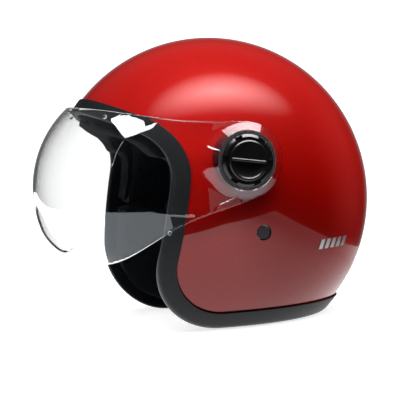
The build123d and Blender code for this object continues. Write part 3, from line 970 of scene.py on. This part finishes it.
def rounded_copy(node, name, voxel, tuck):
    """Copy of a CAD solid as an even mesh with softened corners, drawn in by tuck."""
    piece = linked(name, nodes[node].data.copy())
    remesh = piece.modifiers.new("even", "REMESH")
    remesh.mode, remesh.voxel_size = "VOXEL", voxel
    soften = piece.modifiers.new("soften", "SMOOTH")
    soften.factor, soften.iterations = 0.5, 4
    even = evaluated_mesh(piece)
    piece.modifiers.clear()
    piece.data = even
    set_places(even, mesh_places(even) - tuck * mesh_normals(even))
    return piece


def inflate(piece, sewn, pressure):
    """Cloth simulation of the cover under the padding's pressure, its sewn points held."""
    group = piece.vertex_groups.new(name="sewn")
    group.add([int(i) for i in np.nonzero(sewn)[0]], 1.0, "REPLACE")
    cloth = piece.modifiers.new("cover", "CLOTH")
    cloth.settings.use_pressure = True
    cloth.settings.uniform_pressure_force = pressure
    cloth.settings.vertex_group_mass = "sewn"
    cloth.settings.effector_weights.gravity = 0
    cloth.point_cache.frame_start, cloth.point_cache.frame_end = 1, 20
    scene = bpy.context.scene
    for frame_number in range(1, 21):
        scene.frame_set(frame_number)
    swollen = mesh_places(evaluated_mesh(piece))
    piece.modifiers.clear()
    scene.frame_set(1)
    return swollen


def padding(node, name, material, seam, voxel=0.0045, tuck=0.0016, groove=0.0022, rise=0.0035):
    """Padded piece in a CAD solid's place. seam gives each point's distance from a sewn line."""
    piece = rounded_copy(node, name, voxel, tuck)
    rest = mesh_places(piece.data)
    normals = mesh_normals(piece.data)
    from_seam = seam(rest - CENTRE, normals)
    sewn = from_seam < voxel * 0.55
    start = rest - normals * (groove * np.exp(-(from_seam / (voxel * 0.7)) ** 2))[:, None]
    set_places(piece.data, start)
    swollen = inflate(piece, sewn, 4.0)
    shift = swollen - start
    size = np.linalg.norm(shift, axis=1)[:, None]
    set_places(piece.data, start + shift * np.minimum(1, rise / np.maximum(size, 1e-9)))
    piece.data.materials.clear()
    piece.data.materials.append(material)
    piece.data.shade_smooth()
    finer = piece.modifiers.new("finer", "SUBSURF")
    finer.levels = finer.render_levels = 1
    attach(piece, "root", "lining", node)


NO_SEAM = 1.0                   # distance given where nothing is sewn


def crown_seam(places, normals):
    """Two long seams from brow to nape and one across the crown, on the side facing the head."""
    seam_off, cross_back = 0.031, 0.020
    inner = (normals * places).sum(1) < 0
    long_seams = np.abs(np.abs(places[:, 0]) - seam_off)
    cross = np.abs(places[:, 1] - cross_back)
    both = np.minimum(long_seams, np.where(np.abs(places[:, 0]) < seam_off, NO_SEAM, cross))
    return np.where(inner, both, NO_SEAM)


def cheek_seam(places, normals):
    """Seam round the edge of the face panel and one bowed across it."""
    edge_off, panel_off, drop, forward, bow_rate = 0.0725, 0.070, 0.047, 0.010, 6.0
    off = np.abs(places[:, 0])
    boxing = np.abs(off - edge_off)
    facing = normals[:, 0] * places[:, 0] < 0
    across = np.abs(places[:, 2] + drop - bow_rate * (places[:, 1] + forward) ** 2)
    return np.where(facing & (off < panel_off), np.minimum(across, boxing), boxing)


def brow_seam(places, normals):
    """One seam along the roll, halfway over its front."""
    past_paint = 0.0035
    return np.abs(past_edge(places[:, 1:]) - past_paint)


def neck_seam(places, normals):
    """Upright seams that divide the roll into cushions."""
    angle = np.arctan2(places[:, 0], places[:, 1])
    step = math.radians(26)
    off = np.abs((angle / step) - np.round(angle / step)) * step
    return off * np.hypot(places[:, 0], places[:, 1])


def build_lining():
    padding("crown_liner", "crown_padding", AIR_MESH, crown_seam)
    padding("brow_pad", "brow_padding", BRUSHED, brow_seam, voxel=0.004)
    for hand in ("left", "right"):
        padding("cheek_pad_" + hand, "cheek_padding_" + hand, BRUSHED, cheek_seam)
    padding("neck_roll", "neck_padding", BRUSHED, neck_seam, voxel=0.004, tuck=0.0012)


# ---------------------------------------------------------------- stage, camera and light
def look_along(azimuth, elevation):
    """Right, up and back of a camera that looks at the helmet from a direction."""
    a, e = math.radians(azimuth), math.radians(elevation)
    back = Vector((math.sin(a) * math.cos(e), -math.cos(a) * math.cos(e), math.sin(e)))
    right = Vector((math.cos(a), math.sin(a), 0))
    return right, back.cross(right), back


CAMERA_SIDE = 73.5, 4           # azimuth, elevation


def set_camera():
    distance = 1.6
    photo_width = 400
    roll = math.radians(3)
    right, up, back = look_along(*CAMERA_SIDE)
    rolled_right = math.cos(roll) * right - math.sin(roll) * up
    rolled_up = math.sin(roll) * right + math.cos(roll) * up
    camera = linked("camera", bpy.data.cameras.new("camera"))
    camera.matrix_world = Matrix.Translation(Vector(CENTRE) + back * distance) @ Matrix(
        (rolled_right, rolled_up, back)
    ).transposed().to_4x4()
    camera.data.sensor_width = 36
    camera.data.lens = 165.6
    camera.data.shift_x = -8.3 / photo_width
    camera.data.shift_y = -2.0 / photo_width
    bpy.context.scene.camera = camera


def glow_material(name, strength, soft):
    """Emission that fades from the middle of its sheet to its edge."""
    material = bpy.data.materials.new(name)
    material.use_nodes = True
    material.node_tree.nodes.clear()
    output = add_node(material, "ShaderNodeOutputMaterial")
    emission = add_node(material, "ShaderNodeEmission", Color=(1, 0.98, 0.96, 1), Strength=strength)
    if soft:
        gradient = place_texture(material, "ShaderNodeTexGradient")
        gradient.gradient_type = "SPHERICAL"
        shape = maths(material, "POWER", soft)
        scaled = maths(material, "MULTIPLY", strength)
        wire(material, gradient, "Fac", shape, 0)
        wire(material, shape, 0, scaled, 0)
        wire(material, scaled, 0, emission, "Strength")
    clear = add_node(material, "ShaderNodeBsdfTransparent")
    total = add_node(material, "ShaderNodeAddShader")
    wire(material, emission, 0, total, 0)
    wire(material, clear, 0, total, 1)
    wire(material, total, 0, output, "Surface")
    return material


def hide_lamp(lamp):
    lamp.visible_camera = False
    lamp.visible_transmission = False


def glowing_sheet(name, corners, strength, soft):
    mesh = bpy.data.meshes.new(name)
    mesh.from_pydata(corners, [], [range(len(corners))])
    mesh.materials.append(glow_material(name, strength, soft))
    lamp = linked(name, mesh)
    hide_lamp(lamp)
    return lamp


def soft_overhead(towards, distance, half_across, half_along, strength, soft):
    """Sheet that glows most in its middle, its longer way along the helmet's length."""
    lamp = glowing_sheet("overhead_light", [(-1, -1, 0), (1, -1, 0), (1, 1, 0), (-1, 1, 0)],
                         strength, soft)
    way = Vector(towards).normalized()
    across = Vector((0, 1, 0)).cross(way).normalized()
    along = way.cross(across)
    turn = Matrix((across * half_across, along * half_along, way)).transposed().to_4x4()
    lamp.matrix_world = Matrix.Translation(Vector(CENTRE) + way * distance) @ turn


def wall_light(directions, distance, strength):
    """Sheet whose corners lie in the given directions: azimuth from -Y towards +X, elevation."""
    corners = []
    for azimuth, elevation in directions:
        corners.append(Vector(CENTRE) + look_along(azimuth, elevation)[2] * distance)
    return glowing_sheet("wall_light", corners, strength, 0)


def ceiling_box(low, high, height, strength):
    """Flat sheet overhead, given by its corners (x, y) from the helmet's middle."""
    corners = [(low[0], low[1]), (high[0], low[1]), (high[0], high[1]), (low[0], high[1])]
    places = [(x, y + CENTRE[1], height) for x, y in corners]
    return glowing_sheet("ceiling_light", places, strength, 0)


def shine_only_on(lamp, pieces):
    group = bpy.data.collections.new(lamp.name + "_receivers")
    for piece in pieces:
        group.objects.link(piece)
    lamp.visible_diffuse = False
    lamp.light_linking.receiver_collection = group


def fill_lamp(towards, distance, size, power):
    """Broad lamp that lights the helmet and isn't mirrored in it."""
    lamp = bpy.data.lights.new("fill_lamp", "AREA")
    lamp.size, lamp.energy = size, power
    holder = linked("fill_lamp", lamp)
    way = Vector(towards).normalized()
    turn = way.to_track_quat("Z", "Y").to_matrix().to_4x4()
    holder.matrix_world = Matrix.Translation(Vector(CENTRE) + way * distance) @ turn
    holder.visible_glossy = False
    hide_lamp(holder)


def build_floor():
    """Pale table. Its edges are what the lacquer and the visor mirror."""
    corners = [(-2.2, -0.9), (-0.5, -0.62), (0.2, -0.623), (0.656, -0.538), (0.74, -0.40),
               (0.30, -0.16), (0.36, -0.106), (0.47, -0.015), (0.70, 0.40), (0.296, 0.279),
               (0.115, 0.248), (-0.30, 0.30), (-2.2, -0.3)]
    mesh = bpy.data.meshes.new("floor")
    mesh.from_pydata([(x, y + CENTRE[1], 0) for x, y in corners], [], [range(len(corners))])
    material, shader = principled("floor", Base_Color=(0.8, 0.8, 0.8, 1), Roughness=0.9,
                                  Emission_Color=(1, 1, 1, 1), Emission_Strength=0.75)
    path = add_node(material, "ShaderNodeLightPath")
    place = add_node(material, "ShaderNodeTexCoord")
    split = add_node(material, "ShaderNodeSeparateXYZ")
    fading = add_node(material, "ShaderNodeMapRange", From_Min=CENTRE[1],
                      From_Max=CENTRE[1] + 0.20, To_Min=1.8, To_Max=0.6)
    glow = add_node(material, "ShaderNodeEmission")
    unseen = add_node(material, "ShaderNodeEmission", Strength=0.0)
    mirrored_or_not = add_node(material, "ShaderNodeMixShader")
    lit_or_not = add_node(material, "ShaderNodeMixShader")
    for source, out, target, socket in (
        (place, "Object", split, "Vector"), (split, "Y", fading, "Value"),
        (fading, "Result", glow, "Strength"), (path, "Glossy Depth", mirrored_or_not, 0),
        (shader, "BSDF", mirrored_or_not, 1), (glow, "Emission", mirrored_or_not, 2),
        (path, "Diffuse Depth", lit_or_not, 0), (mirrored_or_not, "Shader", lit_or_not, 1),
        (unseen, "Emission", lit_or_not, 2),
        (lit_or_not, "Shader", material.node_tree.nodes["Material Output"], "Surface"),
    ):
        wire(material, source, out, target, socket)
    mesh.materials.append(material)
    floor = linked("floor", mesh)
    floor.visible_diffuse = False


def set_world():
    """White behind the helmet. What it mirrors and is lit by is a dim grey room."""
    world = bpy.data.worlds.new("studio")
    world.use_nodes = True
    bpy.context.scene.world = world
    world.node_tree.nodes.clear()
    path = add_node(world, "ShaderNodeLightPath")
    bounced = maths(world, "ADD")
    straight = maths(world, "LESS_THAN", 0.5)
    through = maths(world, "MULTIPLY")
    seen = maths(world, "MAXIMUM")
    brighter = maths(world, "MAXIMUM")
    place = add_node(world, "ShaderNodeTexCoord")
    split = add_node(world, "ShaderNodeSeparateXYZ")
    lift = add_node(world, "ShaderNodeMapRange", From_Min=-1)
    room = ramp(world, lift, 0, [(0.52, 3 * (0.005,)), (0.68, 3 * (0.04,)), (0.86, 3 * (0.13,))])
    backdrop = add_node(world, "ShaderNodeVectorMath")
    backdrop.operation = "DOT_PRODUCT"
    backdrop.inputs[1].default_value = -look_along(*CAMERA_SIDE)[2]
    near_backdrop = add_node(world, "ShaderNodeMapRange", From_Min=0.86, To_Max=0.30)
    mix = add_node(world, "ShaderNodeMix")
    mix.data_type = "RGBA"
    mix.inputs["B"].default_value = (1.5, 1.5, 1.5, 1)
    background = add_node(world, "ShaderNodeBackground")
    output = add_node(world, "ShaderNodeOutputWorld")
    for source, out, target, socket in (
        (path, "Is Camera Ray", seen, 0), (path, "Glossy Depth", bounced, 0),
        (path, "Diffuse Depth", bounced, 1), (bounced, 0, straight, 0), (straight, 0, through, 0),
        (path, "Is Transmission Ray", through, 1), (through, 0, seen, 1),
        (place, "Generated", split, 0), (split, "Z", lift, "Value"), (seen, 0, mix, "Factor"),
        (place, "Generated", backdrop, 0), (backdrop, "Value", near_backdrop, "Value"),
        (near_backdrop, 0, brighter, 0), (room, "Color", brighter, 1), (brighter, 0, mix, "A"),
        (mix, "Result", background, "Color"), (background, 0, output, "Surface"),
    ):
        wire(world, source, out, target, socket)
    bpy.context.scene.view_settings.view_transform = "Standard"


set_camera()
build_floor()
set_world()
soft_overhead((0.30, 0.13, 0.94), 1.3, 0.44, 1.15, 10.0, soft=1.4)
fill_lamp((0.1, -0.15, 1.0), 2.0, 2.2, 42.0)
fill_lamp((-0.3, 1.0, 0.1), 2.0, 1.6, 42.0)

build_shell()
build_trim()
visor = build_visor()
knob = build_rings() + build_caps()
window = [(24, 23.5), (33, 22.5), (42, 21), (43, 23), (35, 25), (30, 30), (-10, 45), (-15, 42)]
side_wall = [(85, -12), (130, -12), (130, 25), (85, 25)]
window_edge = [(23.5, 10), (24.1, 10), (24.1, 23), (23.5, 23)]
table_edge = [(46, -8.6), (76, -6.2), (76, -5.8), (46, -8.2)]
for outline, strength in ((window, 30.0), (side_wall, 0.75), (window_edge, 8.0), (table_edge, 4.0)):
    shine_only_on(wall_light(outline, 2.0, strength), [visor])
shine_only_on(ceiling_box((-0.7, -0.52), (1.0, 1.20), 1.35, 12.0), [visor] + knob)

build_seats()
build_straps()
build_lining()

finish_of = {
    "eps_liner": FOAM,
    "pivot_base": BLACK, "pivot_screw": STEEL, "pivot_nut": STEEL, "wave_washer": DARK_RIVET,
    "strap_anchor": STEEL, "strap_rivet": DARK_RIVET, "link_rivet": STEEL, "side_mark": SILVER,
    "visor_bumpers": CLEAR, "buckle_base": STEEL, "buckle_pin": STEEL, "buckle_tongue": BLACK,
    "buckle_lever": BLACK, "strap_slider": BLACK,
}
bevels = {"buckle_base": 0.0005, "buckle_tongue": 0.0003, "buckle_lever": 0.0005,
          "strap_slider": 0.0005, "pivot_base": 0.0004, "strap_rivet": 0.0004,
          "link_rivet": 0.0003, "pivot_screw": 0.0003}
for name, node in nodes.items():
    kind = name.replace("_left", "").replace("_right", "")
    node.data.materials.clear()
    node.data.materials.append(finish_of.get(kind, WEBBING))
    if kind in bevels:
        bevel = node.modifiers.new("edge_break", "BEVEL")
        bevel.width, bevel.segments = bevels[kind], 2
        bevel.limit_method, bevel.angle_limit = "ANGLE", math.radians(35)
